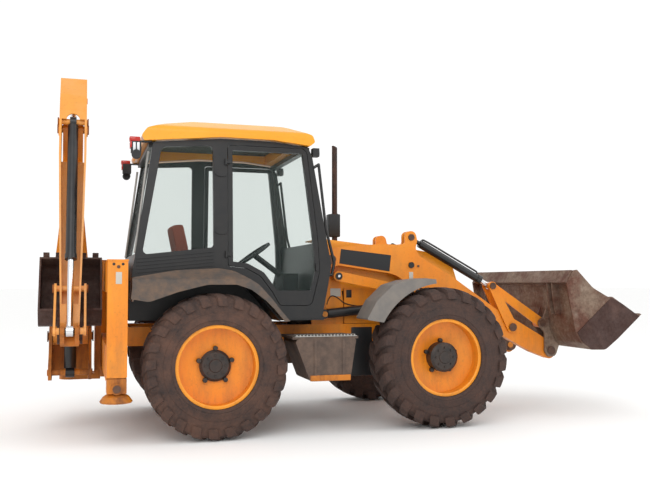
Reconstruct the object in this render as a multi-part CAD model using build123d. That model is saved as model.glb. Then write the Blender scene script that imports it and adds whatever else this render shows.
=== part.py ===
from build123d import *
import math
import os

# A backhoe loader, in mm. X points forwards, Y to the machine's left and Z up from the ground.
# Everything is drawn from the middle of the rear axle, and moved to the middle of the machine's
# box as it is written out. Most parts are drawn for one side and mirrored to the other.

os.makedirs("parts", exist_ok=True)

# Driving dimensions
MIDDLE_X = 1508
WHEELBASE = 2220
WHEEL_Y = 975
KINGPIN_Y = 820
FRONT_TYRE = 680
REAR_TYRE = 655
RAIL_LOW = 800
RAIL_HIGH = 980
BONNET_HALF = 335
CAB_SIDE_Y = 850
CAB_BASE_Z = 1060
CAB_LEAN = 3.4
POST_THICK = 50
GLASS_THICK = 6
ARM_IN = 385
ARM_OUT = 485
ARM_MIDDLE = 435
LOADER_BUCKET_HALF = 1050
HOE_X = -1260
SLEW_Y = 620
PIN_PLAY = 1.5

# Loader pins, across and up
ARM_PIVOT = (1262, 1640)
LEVEL_PIVOT = (1330, 1470)
LEVEL_FRONT = (2200, 1300)
LIFT_BASE = (1200, 1085)
LIFT_EYE = (2400, 1200)
CROWD_BASE = (2147, 1880)
CROWD_EYE = (3083, 1370)
LEVER_PIVOT = (3318, 923)
LINK_EYE = (3690, 963)
BUCKET_PIVOT = (3790, 660)

# Backhoe pins, in Y and Z
BOOM_PIVOT = (340, 860)
BOOM_RAM_BASE = (100, 520)
BOOM_RAM_EYE = (280, 1980)
DIPPER_PIVOT = (0, 2920)
DIPPER_RAM_BASE = (760, 1500)
DIPPER_RAM_EYE = (280, 3270)
HOE_PIVOT = (-660, 1050)

# Along and out from the dipper, measured from the hoe bucket's pivot
DIPPER_LEAN = math.degrees(math.atan2(660, 1870))
HOE_RAM_BASE = (1990, 130)
HOE_LEVER_PIVOT = (310, 20)
HOE_LEVER_END = (-130, 150)
HOE_CRANK = (-80, -247)

parts = {}


# Shapes used again and again

def outline(points):
    # rows of (across, up, corner radius)
    corners = [(across, up) for across, up, radius in points]
    radii = [radius for across, up, radius in points]
    return make_face(FilletPolyline(*corners, radius=radii, close=True))


def side_plate(points, y_low, y_high):
    # an outline in X and Z
    return Pos(0, y_high, 0) * extrude(Plane.XZ * outline(points), amount=y_high - y_low)


def cross_plate(points, x_low, x_high):
    # an outline in Y and Z
    return Pos(x_low, 0, 0) * extrude(Plane.YZ * outline(points), amount=x_high - x_low)


def block(x_low, x_high, y_low, y_high, z_low, z_high):
    size = Box(x_high - x_low, y_high - y_low, z_high - z_low)
    return Pos((x_low + x_high) / 2, (y_low + y_high) / 2, (z_low + z_high) / 2) * size


def pin_y(place, radius, y_low, y_high):
    # a round bar along Y; place is (X, Z)
    return Pos(place[0], (y_low + y_high) / 2, place[1]) * Rot(90, 0, 0) * Cylinder(radius, y_high - y_low)


def pin_x(place, radius, x_low, x_high):
    # a round bar along X; place is (Y, Z)
    return Pos((x_low + x_high) / 2, place[0], place[1]) * Rot(0, 90, 0) * Cylinder(radius, x_high - x_low)


def post(x, y, radius, z_low, z_high):
    return Pos(x, y, (z_low + z_high) / 2) * Cylinder(radius, z_high - z_low)


def rod(start, end, radius, begin=0, length=None):
    # a round bar on the line from start to end, from begin onwards
    start = Vector(*start)
    way = Vector(*end) - start
    if length is None:
        length = way.length - begin
    place = Plane(origin=start + way.normalized() * begin, z_dir=way)
    return place * Cylinder(radius, length, align=(Align.CENTER, Align.CENTER, Align.MIN))


def turned_y(profile):
    # rows of (along Y, radius)
    return revolve(Plane.YZ * make_face(Polyline(*profile, close=True)), axis=Axis.Y)


def turned_x(profile):
    # rows of (along X, radius)
    return revolve(Plane.XZ * make_face(Polyline(*profile, close=True)), axis=Axis.X)


def turned_z(profile):
    # rows of (radius, along Z)
    return revolve(Plane.XZ * make_face(Polyline(*profile, close=True)), axis=Axis.Z)


def mirrored(shape):
    return mirror(shape, about=Plane.XZ)


def both_sides(shape):
    return shape + mirrored(shape)


def lean(shape):
    # stands a cab side drawn upright on its base line into the cab's inward slope
    return Pos(0, -CAB_SIDE_Y, CAB_BASE_Z) * Rot(-CAB_LEAN, 0, 0) * Pos(0, CAB_SIDE_Y, -CAB_BASE_Z) * shape


def ram_barrel(base, end, radius, bore, length, neck):
    # a tube from its base eye towards the rod's eye, with a slim neck at its foot and a gland at its mouth
    tube = rod(base, end, radius, neck, length - neck) + rod(base, end, 22, 40, neck)
    gland = rod(base, end, radius + 6, length - 50, 50)
    return tube + gland - rod(base, end, bore, max(neck + 12, 95), length)


def ram_rod(base, end, radius, length):
    # the rod from inside the barrel to just short of its own eye
    distance = (Vector(*end) - Vector(*base)).length
    return rod(base, end, radius, distance - length, length - 25)


# Wheels, drawn at the origin with the outside towards +Y

# Tyre: half width at each step and how far it lies below the crown
TYRE_STEPS = ((150, 0), (215, 120))
TYRE_FLATS = 24
LUGS = 12
LUG_LEAN = 32
LUG_WIDE = 98
LUG_REACH = 130
LUG_MIDDLE = 104
RIM_PROFILE = (
    (180, 372), (168, 372), (168, 356), (-168, 356), (-168, 372), (-180, 372),
    (-180, 344), (40, 344), (10, 160), (10, 62), (26, 62), (26, 152), (60, 344), (180, 344),
)


def tyre_ring(apothem, height):
    turn = Rot(0, 0, 180 / TYRE_FLATS)
    return Pos(0, 0, height) * turn * RegularPolygon(apothem, TYRE_FLATS, major_radius=False)


def tyre_step(low, high):
    # a flat-sided ring from low to high, both (half width, height above the hub)
    return loft([tyre_ring(low[1], low[0]), tyre_ring(high[1], high[0])], ruled=True)


def tyre_half(radius, begin):
    rows = [(begin, radius)] + [(out, radius - drop) for out, drop in TYRE_STEPS]
    half = tyre_step(rows[0], rows[1])
    for low, high in zip(rows[1:-1], rows[2:]):
        half += tyre_step(low, high)
    return half


def tyre(radius, lug_depth, lug_begin):
    # the carcass, with leaned lugs cut by the same outline at the full radius, staggered side to side
    bar = Pos(radius + 4 - LUG_REACH / 2, 0, LUG_MIDDLE) * Rot(LUG_LEAN, 0, 0) * Box(LUG_REACH, LUG_WIDE, 330)
    lug = bar & tyre_half(radius, lug_begin)
    half = tyre_half(radius - lug_depth, 0)
    for step in range(LUGS):
        half += Rot(0, 0, 360 / LUGS * step) * lug
    half -= tyre_step((166, 376), (216, radius - 125))
    half -= tyre_step((-1, 358), (168, 358))
    other = Rot(0, 0, 180 / LUGS) * mirror(half, about=Plane.XY)
    return Rot(-90, 0, 0) * (half + other)


def rim(hub_out):
    drum = ((26, 0), (26, 140), (hub_out - 16, 140), (hub_out, 118), (hub_out, 0))
    return turned_y(RIM_PROFILE) + turned_y(drum)


def knuckle(height):
    shape = post(0, KINGPIN_Y, 72, height - 118, height + 118)
    shape += post(0, KINGPIN_Y, 28, height - 165, height + 165)
    return shape + pin_y((0, height), 60, KINGPIN_Y, WHEEL_Y + 20)


def axle(height):
    half = pin_y((0, height), 85, 0, 700)
    half += block(-55, 55, 680, 715, height - 160, height + 160)
    for low in (height - 160, height + 125):
        arm = block(-55, 55, 700, KINGPIN_Y, low, low + 35) + post(0, KINGPIN_Y, 55, low, low + 35)
        half += arm - post(0, KINGPIN_Y, 28 + PIN_PLAY, low, low + 35)
    half += block(-80, 80, 300, 400, height, RAIL_LOW)
    diff = turned_x(((-150, 0), (-150, 80), (-90, 165), (90, 165), (170, 70), (170, 0)))
    return both_sides(half) + Pos(0, 0, height) * diff


# Wheels: end of the machine, axle's X, tyre radius, how far out the hub reaches, lug depth, where the lugs begin
WHEELS = (("rear", 0, REAR_TYRE, 60, 14, 100), ("front", WHEELBASE, FRONT_TYRE, 150, 30, 8))
axles = []
for end, axle_x, radius, hub_out, lug_depth, lug_begin in WHEELS:
    left_tyre = Pos(axle_x, WHEEL_Y, radius) * tyre(radius, lug_depth, lug_begin)
    left_rim = Pos(axle_x, WHEEL_Y, radius) * rim(hub_out)
    left_knuckle = Pos(axle_x, 0, 0) * knuckle(radius)
    for name, shape in (("tyre", left_tyre), ("rim", left_rim), ("knuckle", left_knuckle)):
        parts[name + "_" + end + "_left"] = shape
        parts[name + "_" + end + "_right"] = mirrored(shape)
    axles.append(Pos(axle_x, 0, 0) * axle(radius))
parts["axles"] = axles[0] + axles[1]

# Front fenders, on the knuckles: outer edge, then the wheel's own arc
FENDER_ARC = 720
FENDER_TOP = (
    (1417, 1053, 15), (1519, 1230, 60), (1684, 1382, 80), (1836, 1427, 60), (2018, 1447, 40), (2131, 1436, 5),
)
fender_block = side_plate(FENDER_TOP + ((2138, 1395, 0), (2138, 1000, 0), (1587, 1026, 0)), 800, 1130)
fender_pocket = Pos(8, 0, -9) * side_plate(FENDER_TOP + ((2300, 1395, 0), (2300, 1000, 0), (1417, 900, 0)), 790, 1121)
fender = fender_block - pin_y((WHEELBASE, FRONT_TYRE), FENDER_ARC, 790, 1140) - fender_pocket
stay = block(WHEELBASE - 250, WHEELBASE - 60, 808, 832, FRONT_TYRE - 20, FRONT_TYRE + 20)
stay += block(WHEELBASE - 250, WHEELBASE - 215, 715, 832, FRONT_TYRE - 20, FRONT_TYRE + 20)
stay += block(WHEELBASE - 250, WHEELBASE - 215, 715, 740, FRONT_TYRE - 20, 1425)
stay += block(WHEELBASE - 250, WHEELBASE - 215, 715, 810, 1405, 1425)
stay -= post(WHEELBASE, KINGPIN_Y, 72, 0, 2000)
parts["front_fender_left"] = fender + stay
parts["front_fender_right"] = mirrored(fender + stay)

# Main frame: two rails, cross members and the loader towers
rails = block(-780, 1440, 300, 400, RAIL_LOW, RAIL_HIGH) + block(1440, 2640, 300, 375, RAIL_LOW, RAIL_HIGH)
TOWER = (
    (1090, 975, 0), (1430, 975, 0), (1430, 1200, 60), (1372, 1560, 0), (1352, 1712, 70),
    (1176, 1712, 70), (1150, 1500, 100), (1085, 1250, 80),
)
tower = side_plate(TOWER, 345, 375)
tower += block(1235, 1255, 375, 381, 1140, 1500)
tower += pin_y(ARM_PIVOT, 35, 345, 500)
tower += pin_y(ARM_PIVOT, 52, 490, 505)
tower += pin_y(LEVEL_PIVOT, 42, 345, 490)
tower += pin_y(LEVEL_PIVOT, 22, 345, 545)
tower += pin_y(LIFT_BASE, 28, 345, 490)
side_panel = side_plate(((1440, 985, 0), (1900, 985, 0), (1960, 1120, 40), (1900, 1345, 60), (1440, 1345, 0)), 345, 375)
frame_half = rails + tower + side_panel
frame = both_sides(frame_half)
for x_low in (-780, 880, 2560):
    frame += block(x_low, x_low + 80, -300, 300, RAIL_LOW + 20, RAIL_HIGH - 20)
frame += block(1095, 1140, -350, 350, 1140, 1640)
parts["main_frame"] = frame

# Engine as one plain block with its gearbox, radiator and the shafts to both axles
engine = block(1300, 2250, -250, 250, 930, 1600)
engine += block(985, 1300, -200, 200, 720, 1030)
engine += block(2250, 2330, -90, 90, 1100, 1300)
engine += block(2330, 2480, -270, 270, 1000, 1640)
engine += rod((1250, 0, 790), (2040, 0, 690), 35)
engine += rod((1050, 0, 760), (180, 0, 660), 35)
parts["powertrain"] = engine

# Side tanks and steps, hung from the rails on two brackets each
TANK = ((720, 880, 30), (870, 490, 40), (1260, 490, 40), (1320, 880, 20))
tank = side_plate(TANK, 620, 1100)
tank += block(700, 1340, 640, 1100, 880, 905)
for x_low in (840, 1180):
    tank += block(x_low, x_low + 60, 400, 660, 810, 870)
parts["side_tanks"] = both_sides(tank)

# Fixed nose below and in front of the bonnet, with a slatted grille
nose = block(2560, 2745, -330, 330, 985, 1300) - block(2540, 2725, -310, 310, 1005, 1320)
nose -= block(2700, 2800, -270, 270, 1040, 1270)
for z_low in range(1060, 1260, 44):
    nose += block(2727, 2739, -272, 272, z_low, z_low + 16)
parts["front_nose"] = nose

# Bonnet, hollow, hinged at its rear edge; its left rear corner stands clear of the exhaust
BONNET = (
    (1190, 1320, 0), (1190, 1862, 10), (1700, 1806, 200), (2050, 1792, 300), (2450, 1725, 200),
    (2690, 1590, 120), (2752, 1400, 80), (2752, 1312, 0),
)
BONNET_INSIDE = (
    (1100, 1200, 0), (1100, 1855, 0), (1700, 1794, 200), (2050, 1780, 300), (2445, 1713, 200),
    (2680, 1582, 110), (2740, 1398, 70), (2740, 1200, 0),
)


def bonnet_section(half, top):
    return cross_plate(((-half, 1000, 0), (half, 1000, 0), (half, top, 70), (-half, top, 70)), 1000, 2900)


bonnet = side_plate(BONNET, -BONNET_HALF, BONNET_HALF) & bonnet_section(BONNET_HALF, 1880)
bonnet -= side_plate(BONNET_INSIDE, -BONNET_HALF, BONNET_HALF) & bonnet_section(BONNET_HALF - 12, 1868)
bonnet -= block(1000, 1665, 228, 400, 1000, 2000)
for y_low in (-260, 120):
    bonnet += pin_y((1250, 1850), 14, y_low, y_low + 80)
parts["bonnet"] = bonnet

# Exhaust: a silencer sleeve with the tail pipe out of its top, cut on a slant
exhaust = post(1545, 280, 30, 1600, 2940) + post(1545, 280, 42, 1935, 2175)
exhaust += post(1545, 280, 38, 1600, 1760)
exhaust -= Pos(1545, 280, 2975) * Rot(0, 25, 0) * Box(160, 160, 80)
exhaust -= post(1545, 280, 26, 2300, 3000)
exhaust += block(1500, 1545, 215, 285, 1560, 1620) - block(1200, 2000, -250, 250, 1500, 1600)
parts["exhaust"] = exhaust

# Cab. Each side is drawn upright and then leaned in. The arch line is the top of the wheel arch.
ARCH = ((-735, 1445), (-350, 1500), (40, 1520), (173, 1495), (375, 1370), (498, 1237), (566, 1150), (645, 1062))
CAB_TOP = ((945, 2731, 20), (590, 2769, 0), (93, 2772, 0), (-545, 2712, 20))
CAB_FRONT = ((1060, 1062, 60), (1130, 1400, 100), (1161, 1573, 60), (985, 2640, 60))
REAR_WINDOW = ((-641, 1660, 40), (16, 1736, 40), (10, 2700, 40), (-466, 2672, 60))
DOOR = (
    (152, 2712, 30), (152, 1564, 20), (319, 1545, 60), (461, 1469, 60), (575, 1316, 60), (647, 1190, 40),
    (953, 1188, 60), (1041, 1513, 80), (1026, 1826, 100), (925, 2712, 60),
)
LOUVRES = 5


def shrunk(points, amount):
    return offset(outline(points), amount=-amount)


def drawn_plate(face, y_low, y_high):
    return Pos(0, y_high, 0) * extrude(Plane.XZ * face, amount=y_high - y_low)


arch_line = tuple((across, up, 0) for across, up in ARCH)
cab_outline = arch_line + CAB_FRONT + CAB_TOP
outside = -CAB_SIDE_Y
inside = outside + POST_THICK
side = side_plate(cab_outline, outside, inside)
side -= side_plate(REAR_WINDOW, outside - 10, inside + 10)
side -= drawn_plate(shrunk(DOOR, -6), outside - 10, inside + 10)
for step in range(LOUVRES):
    low = 1490 + 32 * step
    slat = side_plate(((-690, low, 0), (10, low + 72, 0), (10, low + 88, 0), (-690, low + 16, 0)), outside - 8, outside + 10)
    side += slat
for height in (1890, 2440):
    side += Pos(88, outside, height) * scale(Rot(90, 0, 0) * Cylinder(42, 24), by=(1.45, 1, 0.75))
side = lean(side)

# Wheel arch skin below the cab, then the tub, the walls and the headers
arch_top = [(across, up - 2, 0) for across, up in ARCH]
arch_under = [(across, up - 22, 0) for across, up in reversed(ARCH)]
arch = side_plate(arch_top + arch_under, -848, -500)
arch += side_plate(arch_top + [(645, 1045, 0), (-735, 1045, 0)], -520, -500)
half_cab = side + arch
half_cab += block(640, 1078, -840, 0, 1045, 1075)
cab = both_sides(half_cab)
cab += block(-700, 645, -510, 510, 1045, 1075)
cab += cross_plate(((-805, 1062, 0), (805, 1062, 0), (760, 1780, 0), (-760, 1780, 0)), 1050, 1078)
cab += block(1050, 1095, -760, 760, 1760, 1796)
REAR_WALL = ((-738, 1440, 0), (-700, 1668, 0), (-672, 1668, 0), (-705, 1440, 0))
cab += side_plate(REAR_WALL, -775, 775)
cab += block(-735, -700, -520, 520, 1045, 1445)
cab += block(-585, -505, -705, 705, 2662, 2708)
cab += block(905, 972, -700, 700, 2692, 2734)

# A handrail up each front post
RAIL = ((1045, 2560), (1120, 1930), (1205, 1600), (1180, 1480))
handrail = rod((1000, -760, 2530), (RAIL[0][0], -775, RAIL[0][1]), 14)
for start, end in zip(RAIL[:-1], RAIL[1:]):
    handrail += rod((start[0], -775, start[1]), (end[0], -775, end[1]), 14)
    handrail += Pos(end[0], -775, end[1]) * Sphere(14)
handrail += Pos(RAIL[0][0], -775, RAIL[0][1]) * Sphere(14)
handrail += rod((RAIL[3][0], -775, RAIL[3][1]), (1120, -790, RAIL[3][1]), 14)
cab += both_sides(handrail)
parts["cab_frame"] = cab

# Panes: the rear side windows, windscreen and rear window
pane = drawn_plate(shrunk(REAR_WINDOW, 2), outside + 22, outside + 22 + GLASS_THICK)
panes = both_sides(lean(pane))
SCREEN = ((1082, 1798, 0), (956, 2690, 0), (950, 2690, 0), (1076, 1798, 0))
screen = side_plate(SCREEN, -760, 760) & cross_plate(((-752, 1798, 0), (752, 1798, 0), (700, 2690, 0), (-700, 2690, 0)), 900, 1200)
BACK_GLASS = ((-694, 1670, 0), (-540, 2660, 0), (-534, 2660, 0), (-688, 1670, 0))
back_glass = side_plate(BACK_GLASS, -760, 760)
back_glass &= cross_plate(((-758, 1670, 0), (758, 1670, 0), (702, 2660, 0), (-702, 2660, 0)), -800, -400)
parts["cab_glass"] = panes + screen + back_glass

# Doors: a slim frame round the glass, with a solid panel at the bottom
door_face = outline(DOOR)
door_plate = drawn_plate(door_face, outside, inside)
door_window = drawn_plate(shrunk(DOOR, 44), outside - 10, inside + 10)
door_window -= block(560, 1100, outside - 20, inside + 20, 1100, 1330)
door = door_plate - door_window
handle = block(1000, 1034, outside - 22, outside + 5, 1520, 1585)
door += handle
door_pane = drawn_plate(shrunk(DOOR, 46), outside + 22, outside + 22 + GLASS_THICK)
door_pane -= block(560, 1100, outside - 20, inside + 20, 1100, 1332)
for z_low in (1640, 2520):
    door += post(130, -870, 12, z_low, z_low + 60)
    door += block(130, 175, -876, -854, z_low + 15, z_low + 45) + block(158, 175, -860, -846, z_low + 15, z_low + 45)
parts["door_right"] = lean(door)
parts["door_left"] = mirrored(lean(door))
parts["door_glass_right"] = lean(door_pane)
parts["door_glass_left"] = mirrored(lean(door_pane))

# Roof: rounded both ways and hollow from below
ROOF = (
    (-632, 2711, 10), (93, 2779, 300), (590, 2775, 300), (957, 2736, 20), (1004, 2775, 20), (980, 2842, 40),
    (757, 2932, 200), (416, 2985, 300), (55, 2985, 300), (-434, 2890, 300), (-600, 2835, 60), (-655, 2760, 40),
)
roof = side_plate(ROOF, -800, 800)
roof &= cross_plate(((-800, 2690, 0), (800, 2690, 0), (800, 2850, 70), (600, 2950, 150), (-600, 2950, 150), (-800, 2850, 70)), -700, 1050)
roof -= block(-470, 830, -640, 640, 2600, 2860)
parts["cab_roof"] = roof

# Seat and controls
seat = block(-150, 150, -150, 150, 1075, 1330)
SEAT_CUSHION = ((-230, 1330, 0), (270, 1350, 30), (270, 1450, 30), (-230, 1440, 0))
seat += side_plate(SEAT_CUSHION, -250, 250)
SEAT_BACK = ((-190, 1425, 0), (-310, 1950, 30), (-230, 1990, 30), (-90, 1430, 0))
seat += side_plate(SEAT_BACK, -250, 250)
parts["seat"] = seat
wheel_centre = Pos(560, 0, 1700) * Rot(0, -35, 0)
controls = block(840, 1000, -180, 180, 1075, 1500)
controls += rod((900, 0, 1450), (560, 0, 1700), 30)
controls += wheel_centre * (Cylinder(206, 24) - Cylinder(178, 30))
controls += wheel_centre * Box(370, 30, 12)
controls += block(-450, 250, -440, -300, 1075, 1530)
controls += block(-450, 250, 300, 440, 1075, 1530)
parts["cab_controls"] = controls

# Rear fenders: a thin skin over the wheel with a skirt on its outer side
FENDER_UP = (
    (-733, 1451, 0), (-350, 1516, 400), (40, 1537, 400), (173, 1512, 200), (375, 1386, 200), (498, 1253, 100),
    (575, 1156, 60), (665, 1052, 0),
)
FENDER_UNDER = ((618, 1048, 0), (515, 1167, 80), (436, 1244, 80), (307, 1340, 100), (173, 1386, 100),
    (-91, 1386, 300), (-348, 1322, 300), (-601, 1234, 100), (-756, 1261, 0))
rear_fender = side_plate(FENDER_UP + FENDER_UNDER, -1150, -858)
INSIDE_UP = tuple((across - 4, up - 14, radius) for across, up, radius in FENDER_UP[1:])
pocket = side_plate(((-722, 1439, 0),) + INSIDE_UP + ((600, 900, 0), (-722, 900, 0)), -1138, -800)
rear_fender -= pocket
rear_fender -= cross_plate(((-1170, 1420, 0), (-1170, 1600, 0), (-950, 1600, 0), (-950, 1546, 0)), -800, 700)
slope = cross_plate(((-1150, 1418, 0), (-1150, 1432, 0), (-950, 1546, 0), (-950, 1532, 0)), -800, 700)
rear_fender += slope & side_plate(FENDER_UP + FENDER_UNDER, -1150, -858)
rear_fender += cross_plate(((-1150, 1240, 0), (-858, 1240, 0), (-858, 1445, 0), (-1150, 1445, 0)), -745, -733)
parts["rear_fenders"] = both_sides(rear_fender)

# Lamps on the roof's corners and on the cab's front posts
lamps = block(-745, -655, -790, -690, 2600, 2700)
lamps += block(-700, -560, -780, -720, 2700, 2710)
lamps += block(991, 1055, -770, -690, 2640, 2722)
parts["cab_lamps"] = both_sides(lamps)

# Loader arms: a deep plate each side, with an upright for the crowd ram at the elbow
ARM_TOP = (
    (1150, 1700, 60), (1255, 1757, 40), (1558, 1789, 200), (1838, 1805, 100), (1995, 1802, 40), (2074, 1810, 30),
    (2074, 1930, 50), (2190, 1960, 60), (2215, 1850, 30), (2195, 1758, 60), (2240, 1685, 40), (2314, 1640, 60),
    (2592, 1486, 200), (2708, 1407, 150), (3140, 1118, 200), (3293, 1045, 100), (3665, 835, 150), (3870, 700, 70),
    (3840, 585, 60), (3783, 567, 60), (3571, 645, 200), (3422, 721, 200), (3158, 858, 200),
    (2450, 1280, 300), (2072, 1419, 200), (1979, 1479, 80), (1894, 1504, 80), (1350, 1580, 60), (1245, 1560, 40),
    (1150, 1590, 50),
)
arm = side_plate(ARM_TOP, ARM_IN, ARM_OUT)
arm += side_plate(((2250, 1390, 0), (2350, 1165, 50), (2420, 1140, 55), (2475, 1190, 50), (2520, 1260, 0)), ARM_IN, ARM_OUT)
arm -= pin_y(ARM_PIVOT, 35 + PIN_PLAY, 300, 600)
arm -= block(1900, 2500, 405, 465, 1000, 1322)
arm -= block(2060, 2260, 408, 462, 1700, 2000)
arm += pin_y(CROWD_BASE, 26, ARM_IN, ARM_OUT)
arm += pin_y(LIFT_EYE, 26, ARM_IN, 403) + pin_y(LIFT_EYE, 26, 467, ARM_OUT + 8)
arm += pin_y(LEVER_PIVOT, 32, 352, 520)
arm += pin_y(BUCKET_PIVOT, 34, 350, 520)
arms = both_sides(arm)
arms += pin_y((2950, 1195), 50, -400, 400)
parts["loader_arms"] = arms


def in_plane(place, y):
    return (place[0], y, place[1])


def paired_rams(base, end, radius, bore, rod_radius, barrel_length, rod_length, neck, half_eye, gap):
    # a barrel and a rod for one side; the eye takes the pin with some play
    start = in_plane(base, ARM_MIDDLE)
    finish = in_plane(end, ARM_MIDDLE)
    barrel = ram_barrel(start, finish, radius, bore, barrel_length, neck)
    barrel += pin_y(base, 48, ARM_MIDDLE - half_eye, ARM_MIDDLE + half_eye)
    barrel -= pin_y(base, gap, 300, 600)
    bar = ram_rod(start, finish, rod_radius, rod_length)
    return barrel, bar


lift_barrel, lift_bar = paired_rams(LIFT_BASE, LIFT_EYE, 48, 31, 28, 980, 760, 40, 27, 28 + PIN_PLAY)
lift_bar += pin_y(LIFT_EYE, 46, ARM_MIDDLE - 25, ARM_MIDDLE + 25)
lift_bar -= pin_y(LIFT_EYE, 26 + PIN_PLAY, 300, 600)
parts["lift_barrels"] = both_sides(lift_barrel)
parts["lift_rods"] = both_sides(lift_bar)
crowd_barrel, crowd_bar = paired_rams(CROWD_BASE, CROWD_EYE, 42, 27, 24, 940, 720, 130, 24, 26 + PIN_PLAY)
crowd_bar += pin_y(CROWD_EYE, 42, ARM_MIDDLE - 23, ARM_MIDDLE + 23)
crowd_bar -= pin_y(CROWD_EYE, 22, 300, 600)
parts["crowd_barrels"] = both_sides(crowd_barrel)
parts["crowd_rods"] = both_sides(crowd_bar)


def bar_between(start, end, half_start, half_end, y_low, y_high):
    # a flat bar with round ends, both ends given as (X, Z)
    way = Vector(end[0] - start[0], end[1] - start[1])
    turn = math.degrees(math.atan2(way.Y, way.X))
    flat = make_face(Polyline((0, -half_start), (way.length, -half_end), (way.length, half_end), (0, half_start), close=True))
    shape = Pos(start[0], y_high, start[1]) * Rot(0, -turn, 0) * extrude(Plane.XZ * flat, amount=y_high - y_low)
    return shape + pin_y(start, half_start, y_low, y_high) + pin_y(end, half_end, y_low, y_high)


# Tipping levers, bucket links and levelling links
lever = bar_between(LEVER_PIVOT, CROWD_EYE, 62, 46, 490, 510)
lever += bar_between(LEVER_PIVOT, CROWD_EYE, 62, 46, 360, 380)
lever += pin_y(CROWD_EYE, 30, 488, 516)
lever += pin_y(CROWD_EYE, 30, 354, 388)
lever -= pin_y(LEVER_PIVOT, 32 + PIN_PLAY, 300, 600)
parts["tipping_levers"] = both_sides(lever)
link = bar_between(LINK_EYE, CROWD_EYE, 52, 44, 464, 484)
link += pin_y(LINK_EYE, 52, 387, 484)
link -= pin_y(LINK_EYE, 26 + PIN_PLAY, 300, 600)
link -= pin_y(CROWD_EYE, 22, 300, 600)
parts["bucket_links"] = both_sides(link)
level = bar_between(LEVEL_PIVOT, LEVEL_FRONT, 50, 45, 495, 535)
level -= pin_y(LEVEL_PIVOT, 22 + PIN_PLAY, 300, 600)
parts["levelling_links"] = both_sides(level)

# Loader bucket, hollow: side plates, the shell between them, a rear flange and a toothed lip
BUCKET_SIDE = (
    (3645, 1407, 0), (3677, 1218, 0), (3711, 1067, 0), (3745, 892, 60), (3822, 778, 60), (3925, 706, 60),
    (4102, 702, 100), (4258, 816, 0), (4531, 1045, 0), (4192, 1258, 60), (4140, 1255, 60), (3960, 1350, 200),
    (3770, 1539, 0), (3724, 1532, 0),
)
BUCKET_SHELL = (
    (3724, 1532, 0), (3740, 1390, 0), (3765, 1150, 0), (3800, 900, 80), (3850, 795, 60), (3935, 724, 60),
    (4098, 720, 100), (4250, 836, 0), (4531, 1065, 0), (4531, 1045, 0), (4258, 816, 0), (4102, 702, 100),
    (3925, 706, 60), (3836, 778, 60), (3784, 892, 80), (3747, 1150, 0), (3722, 1390, 0), (3706, 1532, 0),
)
half = LOADER_BUCKET_HALF
bucket = side_plate(BUCKET_SIDE, half - 20, half)
bucket = both_sides(bucket)
bucket += side_plate(BUCKET_SHELL, -half + 10, half - 10)
FLANGE = ((3645, 1407, 0), (3706, 1536, 0), (3724, 1532, 0), (3745, 1400, 0), (3735, 1360, 0), (3722, 1385, 0))
bucket += side_plate(FLANGE, -half + 10, half - 10)
bucket += side_plate(((4470, 1000, 0), (4556, 1068, 0), (4531, 1078, 0), (4460, 1016, 0)), -half, half)
EAR = (
    (3760, 1150, 0), (3700, 1030, 40), (3640, 985, 30), (3640, 935, 40), (3715, 860, 60), (3712, 650, 60),
    (3760, 585, 60), (3850, 600, 60), (3900, 735, 0), (3800, 850, 0),
)
ear = side_plate(EAR, 492, 512) + side_plate(EAR, 358, 378)
ear += pin_y(LINK_EYE, 26, 358, 512)
ear -= pin_y(BUCKET_PIVOT, 34 + PIN_PLAY, 300, 600)
bucket += both_sides(ear)
parts["loader_bucket"] = bucket

# Rear frame: two cross rails for the carriage and the fixed stabiliser tubes
STAB_Y = 1075
rear_half = block(-955, -860, 0, 982, 1320, 1600) + block(-955, -860, 0, 982, 550, 850)
leg_tube = block(-952, -782, 980, 1170, 590, 1590)
leg_tube += block(-957, -777, 975, 1175, 1590, 1604)
leg_tube -= block(-941, -793, 991, 1159, 580, 1580)
rear_half += leg_tube
rear_half += block(-862, -780, 290, 410, 550, 1500)
rear_half += block(-900, -860, 0, 400, 840, 1330)
parts["rear_frame"] = both_sides(rear_half)

# Stabiliser legs, inside the tubes, each with a pinned foot and a dished pad
PAD_PROFILE = ((0, 0), (132, 0), (140, 12), (112, 52), (60, 85), (0, 85))
leg = block(-938, -796, 994, 1156, 500, 1500)
leg += block(-950, -784, 985, 1165, 455, 580)
leg += pin_y((-867, 495), 48, STAB_Y - 105, STAB_Y + 105)
leg += Pos(-867, STAB_Y, 370) * turned_z(PAD_PROFILE)
parts["stabiliser_left"] = leg
parts["stabiliser_right"] = mirrored(leg)

# Carriage: a plate hooked on both rails, with a lug above and below the kingpost
carriage = block(-1020, -960, SLEW_Y - 270, SLEW_Y + 270, 520, 1630)
carriage += block(-1020, -880, SLEW_Y - 270, SLEW_Y + 270, 1605, 1640)
carriage += block(-850, -820, SLEW_Y - 150, SLEW_Y + 150, 1560, 1640) + block(-900, -820, SLEW_Y - 150, SLEW_Y + 150, 1605, 1640)
carriage += block(-1020, -880, SLEW_Y - 270, SLEW_Y + 270, 510, 545)
for z_low in (400, 1060):
    lug = block(HOE_X, -960, SLEW_Y - 110, SLEW_Y + 110, z_low, z_low + 60) + post(HOE_X, SLEW_Y, 110, z_low, z_low + 60)
    carriage += lug - post(HOE_X, SLEW_Y, 45 + PIN_PLAY, z_low - 10, z_low + 80)
carriage += block(-1020, -960, SLEW_Y - 110, SLEW_Y + 110, 400, 530)
parts["carriage"] = carriage

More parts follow.
